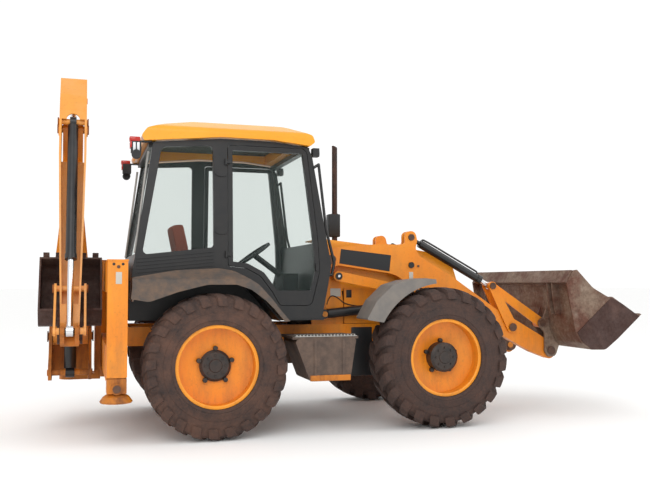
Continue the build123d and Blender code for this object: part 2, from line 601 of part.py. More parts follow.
# Kingpost: cheeks for the boom's foot, an arched web and the slew rings
CHEEK = (
    (530, 470, 0), (530, 1050, 0), (440, 1050, 60), (400, 985, 60), (255, 965, 60), (225, 850, 60),
    (180, 700, 100), (38, 590, 65), (38, 450, 65), (320, 420, 60), (430, 470, 60),
)
cheek = cross_plate(CHEEK, 175, 205)
post_x = Pos(HOE_X, 0, 0)
kingpost = cheek + mirror(cheek, about=Plane.YZ)
kingpost += block(-205, 205, 505, 530, 470, 1050)
for z_low in (470, 1000):
    kingpost += block(-120, 120, 505, SLEW_Y, z_low, z_low + 50) + post(0, SLEW_Y, 120, z_low, z_low + 50)
kingpost += post(0, SLEW_Y, 45, 392, 500)
kingpost += post(0, SLEW_Y, 45, 1020, 1128)
kingpost += pin_x(BOOM_PIVOT, 40, -215, 215)
kingpost += pin_x(BOOM_RAM_BASE, 30, -215, 215)
parts["kingpost"] = post_x * kingpost

# Boom: a tapered box with ears for both rams and a channel down its back
BOOM = (
    (240, 780, 90), (235, 1050, 60), (290, 1380, 100), (360, 1700, 200), (270, 2150, 200), (-20, 2790, 60),
    (-66, 2935, 50), (10, 2992, 60), (70, 2930, 40), (150, 2650, 80), (200, 2500, 60), (400, 2290, 120), (600, 1960, 150),
    (675, 1600, 120), (615, 1350, 60), (485, 1240, 60), (465, 1080, 60), (440, 770, 90),
)
BOOM_WIDTH = ((-170, 700, 0), (170, 700, 0), (170, 1550, 0), (95, 2270, 0), (95, 3100, 0), (-95, 3100, 0), (-95, 2270, 0), (-170, 1550, 0))
BOOM_INSIDE = ((-150, 1300, 0), (150, 1300, 0), (150, 1550, 0), (75, 2270, 0), (75, 2640, 0), (-75, 2640, 0), (-75, 2270, 0), (-150, 1550, 0))
BOOM_CHANNEL = ((600, 1400, 0), (385, 1950, 0), (140, 2600, 0), (130, 2660, 0), (400, 2660, 0), (900, 1900, 0), (900, 1400, 0))
boom = cross_plate(BOOM, -170, 170) & side_plate(BOOM_WIDTH, -400, 1000)
boom -= cross_plate(BOOM_CHANNEL, -160, 160) & side_plate(BOOM_INSIDE, -400, 1000)
boom -= pin_x(BOOM_RAM_EYE, 56, -46, 46)
BOOM_EAR = ((350, 1850, 0), (285, 1915, 55), (215, 1960, 60), (235, 2045, 60), (330, 2070, 0))
BACK_EAR = ((640, 1420, 0), (760, 1425, 70), (830, 1500, 60), (760, 1575, 70), (600, 1700, 0))
for x_low in (-75, 50):
    boom += cross_plate(BOOM_EAR, x_low, x_low + 25)
for x_low in (-90, 65):
    boom += cross_plate(BACK_EAR, x_low, x_low + 25)
boom += pin_x(BOOM_RAM_EYE, 30, -90, -52) + pin_x(BOOM_RAM_EYE, 30, 52, 90)
boom += pin_x(DIPPER_RAM_BASE, 30, -105, 105)
boom -= pin_x(BOOM_PIVOT, 40 + PIN_PLAY, -300, 300)
boom -= pin_x(DIPPER_PIVOT, 38 + PIN_PLAY, -300, 300)
parts["boom"] = post_x * boom


def in_hoe_plane(place):
    return (0, place[0], place[1])


def hoe_ram(base, end, radius, bore, rod_radius, barrel_length, rod_length, half_eye, base_pin, end_pin):
    start = in_hoe_plane(base)
    finish = in_hoe_plane(end)
    barrel = ram_barrel(start, finish, radius, bore, barrel_length, 40)
    barrel += pin_x(base, 50, -half_eye, half_eye)
    barrel -= pin_x(base, base_pin + PIN_PLAY, -200, 200)
    bar = ram_rod(start, finish, rod_radius, rod_length)
    bar += pin_x(end, 48, -half_eye, half_eye)
    bar -= pin_x(end, end_pin + PIN_PLAY, -200, 200)
    return post_x * barrel, post_x * bar


boom_ram = hoe_ram(BOOM_RAM_BASE, BOOM_RAM_EYE, 58, 38, 35, 770, 750, 42, 30, 30)
parts["boom_barrel"] = boom_ram[0]
parts["boom_rod"] = boom_ram[1]
dipper_ram = hoe_ram(DIPPER_RAM_BASE, DIPPER_RAM_EYE, 52, 33, 30, 1080, 800, 40, 30, 30)
parts["dipper_barrel"] = dipper_ram[0]
parts["dipper_rod"] = dipper_ram[1]


def on_dipper(along, out):
    # a point along and out from the dipper, in Y and Z
    turn = math.radians(DIPPER_LEAN)
    sine = math.sin(turn)
    cosine = math.cos(turn)
    return (HOE_PIVOT[0] + along * sine - out * cosine, HOE_PIVOT[1] + along * cosine + out * sine)


def dipper_outline(rows):
    return tuple(on_dipper(along, out) + (radius,) for along, out, radius in rows)


# Dipper: two cheeks joined by a web at the back, closed at its top
DIPPER_CHEEK = dipper_outline((
    (-56, -52, 50), (-56, 52, 50), (300, 80, 100), (900, 95, 200), (1750, 120, 200), (1900, 195, 60), (2080, 200, 60),
    (2300, 130, 100), (2560, 20, 30), (2590, -120, 40), (2480, -215, 50), (2330, -205, 60), (2120, -110, 60),
    (1900, -95, 100), (900, -85, 300), (300, -75, 200),
))
DIPPER_WIDTH = ((-80, 900, 0), (80, 900, 0), (110, 1950, 0), (127, 2650, 0), (127, 3600, 0), (-127, 3600, 0), (-127, 2650, 0), (-110, 1950, 0))
DIPPER_INSIDE = ((-62, 800, 0), (62, 800, 0), (92, 1950, 0), (107, 2600, 0), (107, 3700, 0), (-107, 3700, 0), (-107, 2600, 0), (-92, 1950, 0))
WEB = dipper_outline(((150, -66, 0), (150, -46, 0), (1660, -76, 0), (1660, -96, 0)))
TOP_PLATE = dipper_outline(((2235, 150, 0), (2300, 130, 0), (2560, 20, 0), (2550, 2, 0), (2292, 112, 0), (2230, 130, 0)))
width = side_plate(DIPPER_WIDTH, -1200, 1000)
dipper = cross_plate(DIPPER_CHEEK, -140, 140) & width
dipper -= side_plate(DIPPER_INSIDE, -1200, 1000)
dipper += cross_plate(WEB, -140, 140) & width
dipper += cross_plate(TOP_PLATE, -140, 140) & width
dipper += cross_plate(dipper_outline(((-56, -50, 48), (-56, 50, 48), (150, 60, 0), (150, -55, 0))), -75, 75) & width
dipper += pin_x(DIPPER_PIVOT, 38, -140, 140)
for x_low in (-138, 120):
    dipper += pin_x(DIPPER_PIVOT, 68, x_low, x_low + 18)
dipper += pin_x(DIPPER_RAM_EYE, 30, -135, -48) + pin_x(DIPPER_RAM_EYE, 30, 48, 135)
dipper += pin_x(on_dipper(*HOE_RAM_BASE), 28, -135, 135)
dipper += pin_x(on_dipper(*HOE_LEVER_PIVOT), 28, -145, 145)
dipper -= pin_x(HOE_PIVOT, 32 + PIN_PLAY, -200, 200)
parts["dipper"] = post_x * dipper

hoe_base = on_dipper(*HOE_RAM_BASE)
hoe_end = on_dipper(*HOE_LEVER_END)
bucket_ram = hoe_ram(hoe_base, hoe_end, 48, 31, 28, 1440, 720, 30, 28, 24)
parts["hoe_ram_barrel"] = bucket_ram[0]
parts["hoe_ram_rod"] = bucket_ram[1]


def hoe_bar(start, end, half_start, half_end, x_low, x_high):
    # a flat bar with round ends, both ends given as (Y, Z)
    way = Vector(end[0] - start[0], end[1] - start[1])
    turn = math.degrees(math.atan2(way.Y, way.X))
    flat = make_face(Polyline((0, -half_start), (way.length, -half_end), (way.length, half_end), (0, half_start), close=True))
    shape = Pos(x_low, start[0], start[1]) * Rot(turn, 0, 0) * extrude(Plane.YZ * flat, amount=x_high - x_low)
    return shape + pin_x(start, half_start, x_low, x_high) + pin_x(end, half_end, x_low, x_high)


hoe_lever_pivot = on_dipper(*HOE_LEVER_PIVOT)
levers = hoe_bar(hoe_lever_pivot, hoe_end, 48, 42, 120, 140)
levers += pin_x(hoe_end, 30, 88, 120)
levers -= pin_x(hoe_lever_pivot, 28 + PIN_PLAY, -200, 200)
parts["side_levers"] = post_x * (levers + mirror(levers, about=Plane.YZ))
crank = on_dipper(*HOE_CRANK)
elbow = on_dipper(-168, -60)
link_side = hoe_bar(hoe_end, elbow, 40, 42, 44, 82)
link_side -= pin_x(hoe_end, 24, -200, 200)
hoe_link = link_side + mirror(link_side, about=Plane.YZ) + hoe_bar(elbow, crank, 42, 46, -82, 82)
parts["tipping_link"] = post_x * (hoe_link - pin_x(crank, 26 + PIN_PLAY, -200, 200))

# Hoe bucket, hollow, as parked: curled in behind the dipper with its teeth at the top
HOE_HALF = 283
HOE_TEETH = (-222, -111, 0, 111, 222)
HOE_BACK = (
    (-290, 1645, 0), (-165, 1565, 120), (-88, 1420, 120), (-90, 1215, 90), (-172, 1062, 90), (-280, 990, 60),
    (-430, 1010, 60), (-520, 1150, 0),
)
HOE_INNER = (
    (-320, 1650, 0), (-300, 1632, 0), (-178, 1553, 110), (-104, 1416, 110), (-106, 1220, 80), (-184, 1074, 80),
    (-284, 1006, 50), (-422, 1024, 50), (-506, 1156, 0), (-560, 1250, 0),
)
HOE_EAR = (
    (-660, 980, 68), (-560, 985, 40), (-500, 850, 50), (-440, 828, 55), (-385, 870, 60), (-300, 1000, 0), (-430, 1030, 0),
    (-520, 1160, 0), (-600, 1130, 40), (-735, 1100, 68),
)
hoe_bucket = cross_plate(HOE_BACK, -HOE_HALF, HOE_HALF) - cross_plate(HOE_INNER, -HOE_HALF + 16, HOE_HALF - 16)
ear = cross_plate(HOE_EAR, 88, 112)
hoe_bucket += ear + mirror(ear, about=Plane.YZ)
for middle in HOE_TEETH:
    hoe_bucket += cross_plate(((-275, 1625, 0), (-250, 1600, 0), (-238, 1618, 0), (-310, 1688, 0)), middle - 28, middle + 28)
hoe_bucket -= pin_x(HOE_PIVOT, 32, -200, 200)
hoe_bucket += pin_x(HOE_PIVOT, 32, -112, 112)
hoe_bucket += pin_x(crank, 26, -112, 112)
parts["hoe_bucket"] = post_x * hoe_bucket

for name, shape in parts.items():
    moved = Pos(-MIDDLE_X, 0, 0) * shape
    export_step(moved, "parts/" + name + ".step")
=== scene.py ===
import bpy
import math
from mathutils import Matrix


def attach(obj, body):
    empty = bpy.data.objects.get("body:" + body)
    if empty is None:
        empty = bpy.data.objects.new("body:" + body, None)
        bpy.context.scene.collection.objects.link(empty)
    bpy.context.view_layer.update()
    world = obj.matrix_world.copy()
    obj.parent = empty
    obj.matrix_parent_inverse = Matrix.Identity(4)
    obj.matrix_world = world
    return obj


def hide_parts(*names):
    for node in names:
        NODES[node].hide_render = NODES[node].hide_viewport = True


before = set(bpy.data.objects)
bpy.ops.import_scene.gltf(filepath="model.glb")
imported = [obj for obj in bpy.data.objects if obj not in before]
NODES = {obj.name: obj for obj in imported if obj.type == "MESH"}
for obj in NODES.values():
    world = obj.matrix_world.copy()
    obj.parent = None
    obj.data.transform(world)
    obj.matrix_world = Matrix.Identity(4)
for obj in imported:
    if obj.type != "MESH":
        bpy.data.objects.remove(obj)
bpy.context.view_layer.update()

# The CAD part is drawn from the middle of the rear axle; this is how far that is from the row's origin.
MIDDLE_X = 1.508
# Half the track, to the middle of the tyres
TRACK_HALF = 0.975
# The parked hoe's middle plane
HOE_X = -1.260


# Colour and materials

def srgb(code):
    # an sRGB hex code as the linear colour that the shader's sockets take
    values = []
    for start in (0, 2, 4):
        level = int(code[start:start + 2], 16) / 255
        values.append(level / 12.92 if level <= 0.04045 else ((level + 0.055) / 1.055) ** 2.4)
    return (values[0], values[1], values[2], 1.0)


class Recipe:
    # a material's node tree, with the few nodes that the finishes share

    def __init__(self, name, slot):
        self.material = bpy.data.materials.new(name)
        self.material.use_nodes = True
        self.tree = self.material.node_tree
        self.shader = self.tree.nodes["Principled BSDF"]
        self.slot = slot
        self.place = self.tree.nodes.new("ShaderNodeTexCoord")

    def link(self, source, target):
        self.tree.links.new(source, target)

    def constant(self, **values):
        for name, value in values.items():
            self.shader.inputs[name.replace("_", " ")].default_value = value

    def noise(self, scale, detail=6, rough=0.6, stretch=(1, 1, 1)):
        mapping = self.tree.nodes.new("ShaderNodeMapping")
        mapping.inputs["Scale"].default_value = stretch
        self.link(self.place.outputs["Object"], mapping.inputs["Vector"])
        node = self.tree.nodes.new("ShaderNodeTexNoise")
        node.inputs["Scale"].default_value = scale
        node.inputs["Detail"].default_value = detail
        node.inputs["Roughness"].default_value = rough
        self.link(mapping.outputs["Vector"], node.inputs["Vector"])
        return node.outputs["Fac"]

    def height(self, low, high):
        # 0 at the low height and 1 at the high one
        apart = self.tree.nodes.new("ShaderNodeSeparateXYZ")
        self.link(self.place.outputs["Object"], apart.inputs["Vector"])
        spread = self.tree.nodes.new("ShaderNodeMapRange")
        spread.inputs["From Min"].default_value = low
        spread.inputs["From Max"].default_value = high
        self.link(apart.outputs["Z"], spread.inputs["Value"])
        return spread.outputs["Result"]

    def ramp(self, value, low, high, start=0.0, end=1.0):
        spread = self.tree.nodes.new("ShaderNodeMapRange")
        spread.inputs["From Min"].default_value = low
        spread.inputs["From Max"].default_value = high
        spread.inputs["To Min"].default_value = start
        spread.inputs["To Max"].default_value = end
        self.link(value, spread.inputs["Value"])
        return spread.outputs["Result"]

    def maths(self, kind, first, second):
        node = self.tree.nodes.new("ShaderNodeMath")
        node.operation = kind
        for index, value in enumerate((first, second)):
            if isinstance(value, (int, float)):
                node.inputs[index].default_value = value
            else:
                self.link(value, node.inputs[index])
        return node.outputs["Value"]

    def mix(self, factor, first, second):
        node = self.tree.nodes.new("ShaderNodeMix")
        node.data_type = "RGBA"
        if isinstance(factor, (int, float)):
            node.inputs["Factor"].default_value = factor
        else:
            self.link(factor, node.inputs["Factor"])
        for index, value in ((6, first), (7, second)):
            if isinstance(value, str):
                node.inputs[index].default_value = srgb(value)
            else:
                self.link(value, node.inputs[index])
        return node.outputs[2]

    def bump(self, value, strength, distance=0.004):
        node = self.tree.nodes.new("ShaderNodeBump")
        node.inputs["Strength"].default_value = strength
        node.inputs["Distance"].default_value = distance
        self.link(value, node.inputs["Height"])
        self.link(node.outputs["Normal"], self.shader.inputs["Normal"])

    def colour(self, source):
        self.link(source, self.shader.inputs["Base Color"])

    def rough(self, source):
        self.link(source, self.shader.inputs["Roughness"])


def dusty_paint(name, slot, clean, faded, dust, dust_amount, roughness=0.38):
    # enamel over steel: faded in broad patches, with dust that thickens towards the ground
    paint = Recipe(name, slot)
    paint.constant(Roughness=roughness, Specular_IOR_Level=0.5)
    patches = paint.ramp(paint.noise(1.7, 5), 0.4, 0.62, 0.0, 0.55)
    specks = paint.ramp(paint.noise(38, 8, 0.75), 0.56, 0.72)
    low_down = paint.ramp(paint.height(0.3, 2.2), 0, 1, 1.0, 0.25)
    streaks = paint.ramp(paint.noise(7, 8, 0.7, (1, 1, 0.25)), 0.44, 0.7)
    dirt = paint.maths("MULTIPLY", paint.maths("MULTIPLY", streaks, low_down), dust_amount)
    base = paint.mix(patches, clean, faded)
    dusted = paint.mix(dirt, base, dust)
    chipped = paint.mix(paint.maths("MULTIPLY", specks, 0.35), dusted, "5B3A22")
    paint.colour(chipped)
    paint.rough(paint.ramp(dirt, 0, 1, roughness, 0.85))
    paint.bump(paint.noise(60, 6), 0.06)
    return paint


def plain(name, slot, code, roughness, metallic=0.0, grain=0.05, other=None):
    # one colour with a faint mottling and grain
    skin = Recipe(name, slot)
    skin.constant(Roughness=roughness, Metallic=metallic)
    if other is None:
        skin.constant(Base_Color=srgb(code))
    else:
        skin.colour(skin.mix(skin.ramp(skin.noise(9, 7, 0.65), 0.38, 0.66), code, other))
    skin.bump(skin.noise(90, 5), grain)
    return skin


# Body enamel, orange-yellow, sun-faded and dusty
ORANGE = dusty_paint("machine enamel", "orange_paint", "E8850A", "E8962A", "8A5B38", 0.55)
# Darker enamel for the axles, knuckles, legs, kingpost, carriage and tipping link: red soil on it, and
# painted shade for parts that sit under or behind others
SOIL_AND_SHADE = dusty_paint("soiled and shaded enamel", "orange_paint", "C8740F", "A5651E", "6B3F26", 1.2, 0.55)
# The lighter yellow enamel of the bonnet and the roof
YELLOW = dusty_paint("panel enamel", "yellow_paint", "EE9A1A", "F0A62C", "A7763F", 0.2, 0.32)
# Peach-faded enamel of the dipper and the side levers
FADED = dusty_paint("faded enamel", "orange_paint", "E79A3C", "E5AC72", "8A5B38", 0.5, 0.45)
# Black satin enamel of the cab's posts, the doors, the nose and small bosses
BLACK = plain("black satin enamel", "dark_frame", "101113", 0.4, other="1C1A19")
# Rear fenders: dark grey moulded polymer with dry soil on it
FENDER = plain("moulded grey polymer", "dark_grey_plastic", "4A4440", 0.7, grain=0.15, other="6B5646")
# The front fenders, cleaner and paler than the rear ones
PALE_FENDER = plain("pale moulded polymer", "dark_grey_plastic", "6F6B67", 0.7, grain=0.15, other="7C756E")
# Cab trim: dark grey moulded plastic
TRIM = plain("dark moulded trim", "dark_grey_plastic", "1C1C1E", 0.6)
# Cylinder tubes in black enamel
TUBE = plain("black cylinder enamel", "ram_black", "17181A", 0.35, other="262322")
# Hard-chromed cylinder rods
CHROME = plain("hard chrome", "ram_rod_steel", "D8D8DA", 0.14, metallic=1.0, grain=0.01)
# Engine and gearbox castings under grime
CASTING = plain("grimy casting", "engine_grey", "332E2A", 0.75, grain=0.2, other="241F1C")
# Tank and step plates, brown with dried soil
TANK = plain("soiled tank steel", "tank_brown", "4A3C34", 0.7, grain=0.3, other="665245")
# Exhaust: rusted and sooted mild steel
RUSTY = plain("rusted steel", "exhaust_rust", "4A2E22", 0.8, grain=0.3, other="2C2220")
# Seat cloth, grey-green
CLOTH = plain("seat cloth", "seat_fabric", "5F665E", 0.9, grain=0.3)
# The seat's red-brown back cover
BACK_CLOTH = plain("seat back cover", "seat_fabric", "8A4433", 0.85, grain=0.3)
# Lamp lenses: red and clear
RED_LENS = plain("red lens", "lamp_red", "B0281E", 0.15)
CLEAR_LENS = plain("clear lens", "lamp_red", "D9DCDD", 0.08)
# Rubber hose
HOSE = plain("hose rubber", "ram_black", "111112", 0.5)
# Wheel hubs: black enamel with a film of soil
HUB = plain("black hub enamel", "dark_frame", "201C1A", 0.5, grain=0.12, other="3A2C24")
# The rims' rolled edge: the rims' orange enamel painted lighter, a painted highlight where the rounded edge
# catches the light, with the same dust
RIM_EDGE_HIGHLIGHT = dusty_paint("rim edge enamel with painted highlight", "orange_paint", "F59A1C", "EE9420", "8A5B38", 0.5)
# Pin ends: oiled brown steel
PIN = plain("oiled pin steel", "worn_steel", "4A352A", 0.55, metallic=0.1, grain=0.1, other="6B4632")
# The hoe's pin ends, with orange rust
RUST_PIN = plain("rusted pin steel", "worn_steel", "7A4524", 0.75, metallic=0.2, grain=0.25, other="A8642C")
# Near-black plastic and blank dark plates, also used as painted shade for the tube's holes
DARK = plain("near black plastic and painted hole shade", "dark_grey_plastic", "17181A", 0.5)
# Blank plates in dull white
PALE = plain("dull white plate", "dark_grey_plastic", "BDB7AC", 0.5)
# Light-grey aluminium trim and treads
SILVER = plain("dull aluminium", "ram_rod_steel", "A9A7A2", 0.45, metallic=0.6, grain=0.05)
# The roof's lining, a dark grey-green cloth
LINING = plain("roof lining", "seat_fabric", "3C423C", 0.95)


def worn_bucket(name, slot, steel, rust, paint_left):
    # bare and rusted plate with remains of enamel, scraped brighter in streaks
    plate = Recipe(name, slot)
    plate.constant(Metallic=0.25)
    patches = plate.ramp(plate.noise(3.2, 8, 0.7), 0.42, 0.6)
    fine = plate.ramp(plate.noise(26, 9, 0.75), 0.4, 0.68)
    scrape = plate.ramp(plate.noise(5, 6, 0.6, (1, 0.2, 1)), 0.55, 0.7)
    base = plate.mix(patches, steel, rust)
    mottled = plate.mix(plate.maths("MULTIPLY", fine, 0.45), base, "2E1D16")
    plate.colour(plate.mix(plate.maths("MULTIPLY", scrape, 0.35), mottled, paint_left))
    plate.rough(plate.ramp(fine, 0, 1, 0.55, 0.85))
    plate.bump(plate.noise(34, 8, 0.7), 0.25, 0.006)
    return plate


# The bucket's side wear plates, darker than the shell
WEAR = worn_bucket("maroon wear steel", "worn_steel", "4A3530", "3E231B", "6B4E43")
# Loader bucket: scraped grey-brown plate with rust in it
BUCKET = worn_bucket("scraped bucket steel", "worn_steel", "85705F", "643E2F", "A8998A")
# Hoe bucket: darker, with more soil and rust
HOE_BUCKET = worn_bucket("soiled bucket steel", "worn_steel", "52403A", "45271D", "7A6658")


def tyre_rubber(name, soil, amount):
    # black rubber, browned by dry red soil, most of it on the tread
    rubber = Recipe(name, "tyre_rubber")
    rubber.constant(Roughness=0.9)
    soil_map = rubber.ramp(rubber.noise(5, 9, 0.72), 0.36, 0.66)
    fine = rubber.ramp(rubber.noise(48, 8, 0.8), 0.4, 0.7)
    dusted = rubber.mix(rubber.maths("MULTIPLY", soil_map, amount), "2C2625", soil)
    rubber.colour(rubber.mix(rubber.maths("MULTIPLY", fine, 0.4), dusted, "6A4A3C"))
    rubber.bump(rubber.noise(70, 7), 0.25)
    return rubber


# Tyre rubber with dry soil worked into it
RUBBER = tyre_rubber("soiled tyre rubber", "4A352D", 0.85)
# The worn rear tyres, browner
WORN_RUBBER = tyre_rubber("worn tyre rubber", "5A4034", 0.9)


def tinted_glass():
    # green-tinted safety glass, thin enough to see the sky through
    glass = Recipe("tinted safety glass", "tinted_glass")
    clear = glass.tree.nodes.new("ShaderNodeBsdfTransparent")
    clear.inputs["Color"].default_value = srgb("FAFCFB")
    blend = glass.tree.nodes.new("ShaderNodeMixShader")
    blend.inputs["Fac"].default_value = 0.07
    glass.constant(Base_Color=srgb("5C6A66"), Roughness=0.06)
    output = glass.tree.nodes["Material Output"]
    glass.link(clear.outputs["BSDF"], blend.inputs[1])
    glass.link(glass.shader.outputs["BSDF"], blend.inputs[2])
    glass.link(blend.outputs["Shader"], output.inputs["Surface"])
    return glass


GLASS = tinted_glass()

DRESS = {
    "main_frame": ORANGE, "rear_frame": ORANGE, "axles": SOIL_AND_SHADE, "powertrain": CASTING, "side_tanks": TANK,
    "front_nose": BLACK, "exhaust": RUSTY, "cab_frame": BLACK, "cab_roof": YELLOW, "cab_glass": GLASS,
    "seat": CLOTH, "cab_controls": TRIM, "rear_fenders": FENDER, "cab_lamps": TRIM, "bonnet": YELLOW,
    "door_right": BLACK, "door_left": BLACK, "door_glass_right": GLASS, "door_glass_left": GLASS,
    "front_fender_left": PALE_FENDER, "front_fender_right": PALE_FENDER, "stabiliser_left": SOIL_AND_SHADE,
    "stabiliser_right": SOIL_AND_SHADE, "loader_arms": ORANGE, "lift_barrels": TUBE, "lift_rods": CHROME,
    "crowd_barrels": TUBE, "crowd_rods": CHROME, "tipping_levers": ORANGE, "bucket_links": ORANGE,
    "loader_bucket": BUCKET, "levelling_links": ORANGE, "carriage": SOIL_AND_SHADE, "kingpost": SOIL_AND_SHADE,
    "boom": ORANGE,
    "boom_barrel": TUBE, "boom_rod": CHROME, "dipper": FADED, "dipper_barrel": TUBE, "dipper_rod": CHROME,
    "hoe_ram_barrel": TUBE, "hoe_ram_rod": CHROME, "side_levers": FADED, "tipping_link": SOIL_AND_SHADE,
    "hoe_bucket": HOE_BUCKET,
}
for end in ("front", "rear"):
    for side in ("left", "right"):
        DRESS["rim_" + end + "_" + side] = ORANGE
        DRESS["tyre_" + end + "_" + side] = RUBBER
        DRESS["knuckle_" + end + "_" + side] = SOIL_AND_SHADE


def dress(piece, recipe):
    piece.data.materials.clear()
    piece.data.materials.append(recipe.material)


for name, recipe in DRESS.items():
    dress(NODES[name], recipe)


# Modelling helpers. Places are in metres from the middle of the rear axle, the right-hand side at minus Y.

TURNS = {"X": (0, math.pi / 2, 0), "Y": (math.pi / 2, 0, 0), "Z": (0, 0, 0)}


def at(x, y, z):
    return (x - MIDDLE_X, y, z)


def choose(*pieces):
    bpy.ops.object.select_all(action="DESELECT")
    for piece in pieces:
        piece.select_set(True)
    bpy.context.view_layer.objects.active = pieces[-1]


def edit(kind="VERT"):
    bpy.ops.object.mode_set(mode="EDIT")
    bpy.ops.mesh.select_mode(type=kind)
    bpy.ops.mesh.select_all(action="SELECT")


def done():
    bpy.ops.object.mode_set(mode="OBJECT")
    return bpy.context.object


def outwards():
    # merges doubles and turns every face outwards
    edit()
    bpy.ops.mesh.remove_doubles(threshold=0.00005)
    bpy.ops.mesh.normals_make_consistent(inside=False)
    return done()


def ease(width, segments=2, sharp=35):
    # rounds the sharp edges of the piece in hand
    edit("EDGE")
    bpy.ops.mesh.select_all(action="DESELECT")
    bpy.ops.mesh.edges_select_sharp(sharpness=math.radians(sharp))
    bpy.ops.mesh.bevel(offset=width, segments=segments, affect="EDGES")
    return done()


def copy_of(piece):
    choose(piece)
    bpy.ops.object.duplicate(linked=False)
    return bpy.context.object


def joined(pieces):
    choose(*pieces)
    if len(pieces) > 1:
        bpy.ops.object.join()
    return bpy.context.object


def settle(piece, name, recipe, body, twin_body=None, smooth=35, stands_for=None):
    # applies the placing, makes the other side's copy and gives each its finish and its body
    choose(piece)
    bpy.ops.object.transform_apply(location=True, rotation=True, scale=True)
    finished = [(piece, name, body, stands_for)]
    if twin_body:
        twin = copy_of(piece)
        bpy.ops.transform.resize(value=(1, -1, 1), center_override=(0, 0, 0))
        bpy.ops.object.transform_apply(location=True, rotation=True, scale=True)
        outwards()
        other = stands_for.replace("right", "left") if stands_for else None
        finished = [(piece, name + "_right", body, stands_for), (twin, name + "_left", twin_body, other)]
    for shape, label, carrier, node in finished:
        shape.name = label
        dress(shape, recipe)
        choose(shape)
        bpy.ops.object.shade_smooth_by_angle(angle=math.radians(smooth))
        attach(shape, carrier)
        if node:
            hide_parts(node)
    return finished[0][0]


def slab(low, high, edge=0.003):
    # a block between two corners with eased edges
    bpy.ops.object.select_all(action="DESELECT")
    middle = [(a + b) / 2 for a, b in zip(low, high)]
    size = [b - a for a, b in zip(low, high)]
    bpy.ops.mesh.primitive_cube_add(size=1, location=at(*middle), scale=size)
    bpy.ops.object.transform_apply(location=True, rotation=True, scale=True)
    return ease(edge)


def drum(centre, axis, radius, depth, edge=0.002, sides=32, rim=0.0):
    # a short round piece along an axis; rim gives its ends a sunk face
    bpy.ops.object.select_all(action="DESELECT")
    bpy.ops.mesh.primitive_cylinder_add(
        vertices=sides, radius=radius, depth=depth, location=at(*centre), rotation=TURNS[axis])
    bpy.ops.object.transform_apply(location=True, rotation=True, scale=True)
    if rim:
        edit("FACE")
        bpy.ops.mesh.select_all(action="DESELECT")
        bpy.ops.mesh.select_face_by_sides(number=sides, type="EQUAL")
        bpy.ops.mesh.inset(thickness=rim, depth=-0.0015)
        done()
    return ease(edge)


def chain(points):
    # a string of vertices through the points, open, left in edit mode with its last vertex selected
    bpy.ops.object.select_all(action="DESELECT")
    bpy.ops.mesh.primitive_plane_add(size=0.001, location=points[0])
    bpy.ops.object.transform_apply(location=True, rotation=True, scale=True)
    edit()
    bpy.ops.mesh.merge(type="CENTER")
    for start, end in zip(points[:-1], points[1:]):
        step = [b - a for a, b in zip(start, end)]
        bpy.ops.mesh.extrude_vertices_move(TRANSFORM_OT_translate={"value": step})


def lathe(profile, centre, steps=64):
    # rows of (out along Y, radius) spun about the Y line through centre
    middle = at(*centre)
    chain([(middle[0], middle[1] + out, middle[2] + radius) for out, radius in profile])
    bpy.ops.mesh.select_all(action="SELECT")
    bpy.ops.mesh.spin(steps=steps, angle=2 * math.pi, center=middle, axis=(0, 1, 0))
    done()
    return outwards()


def plate(corners, y, thick, edge=0.0015):
    # an outline in X and Z raised into a plate, its outer face at y
    chain([at(x, y, z) for x, z in corners])
    bpy.ops.mesh.select_all(action="SELECT")
    bpy.ops.mesh.edge_face_add()
    bpy.ops.mesh.select_all(action="SELECT")
    bpy.ops.mesh.extrude_region_move(TRANSFORM_OT_translate={"value": (0, thick, 0)})
    done()
    outwards()
    return ease(edge, 1)


def pipe(points, radius):
    # a bent pipe: a smooth curve with a round section, turned into a mesh
    bpy.ops.object.select_all(action="DESELECT")
    bpy.ops.curve.primitive_nurbs_path_add(location=(0, 0, 0))
    line = bpy.context.object
    spline = line.data.splines[0]
    spline.points.add(max(0, len(points) - len(spline.points)))
    for index, point in enumerate(spline.points):
        place = points[min(index, len(points) - 1)]
        point.co = (*at(*place), 1)
    spline.order_u = 3
    spline.use_endpoint_u = True
    line.data.bevel_depth = radius
    line.data.bevel_resolution = 3
    line.data.use_fill_caps = True
    line.data.resolution_u = 8
    bpy.ops.object.convert(target="MESH")
    return outwards()


def around(piece, centre, count, turn=2 * math.pi):
    # copies turned about the Y line through centre, joined into one
    ring = [piece]
    for step in range(1, count):
        twin = copy_of(piece)
        bpy.ops.transform.rotate(value=turn * step / count, orient_axis="Y", center_override=at(*centre))
        bpy.ops.object.transform_apply(location=True, rotation=True, scale=True)
        ring.append(twin)
    return joined(ring)


# Wheels: tyres with their tread, and black hubs with studs

TYRE_SECTION = (
    # out along the axle, how far below the crown; from the bead to the middle
    (0.168, 0.302), (0.182, 0.300), (0.200, 0.278), (0.210, 0.240), (0.206, 0.232), (0.213, 0.222),
    (0.214, 0.165),
    (0.209, 0.160), (0.209, 0.110), (0.200, 0.062), (0.190, 0.030), (0.160, 0.010), (0.100, 0.001),
    (0.0, 0.0),
)


RIM_SEAT = 0.376
TREAD_DEPTH = 0.2
TREAD_NARROWER = 0.945
LINER = ((-0.166, 0.362), (0.166, 0.362))
LUG_LEAN = math.radians(-32)
LUG_REACH = 0.12
LUG_LENGTH = 0.30
RING_STEPS = 96


def tyre_shape(centre, radius, lug):
    # the carcass: the section mirrored and spun; the bead is closed by the inner liner
    half = [
        (out * (TREAD_NARROWER if drop < TREAD_DEPTH else 1), max(radius - lug - drop, RIM_SEAT))
        for out, drop in TYRE_SECTION
    ]
    other = [(-out, height) for out, height in reversed(half[:-1])]
    return lathe(half + other + list(LINER) + [half[0]], centre, RING_STEPS)


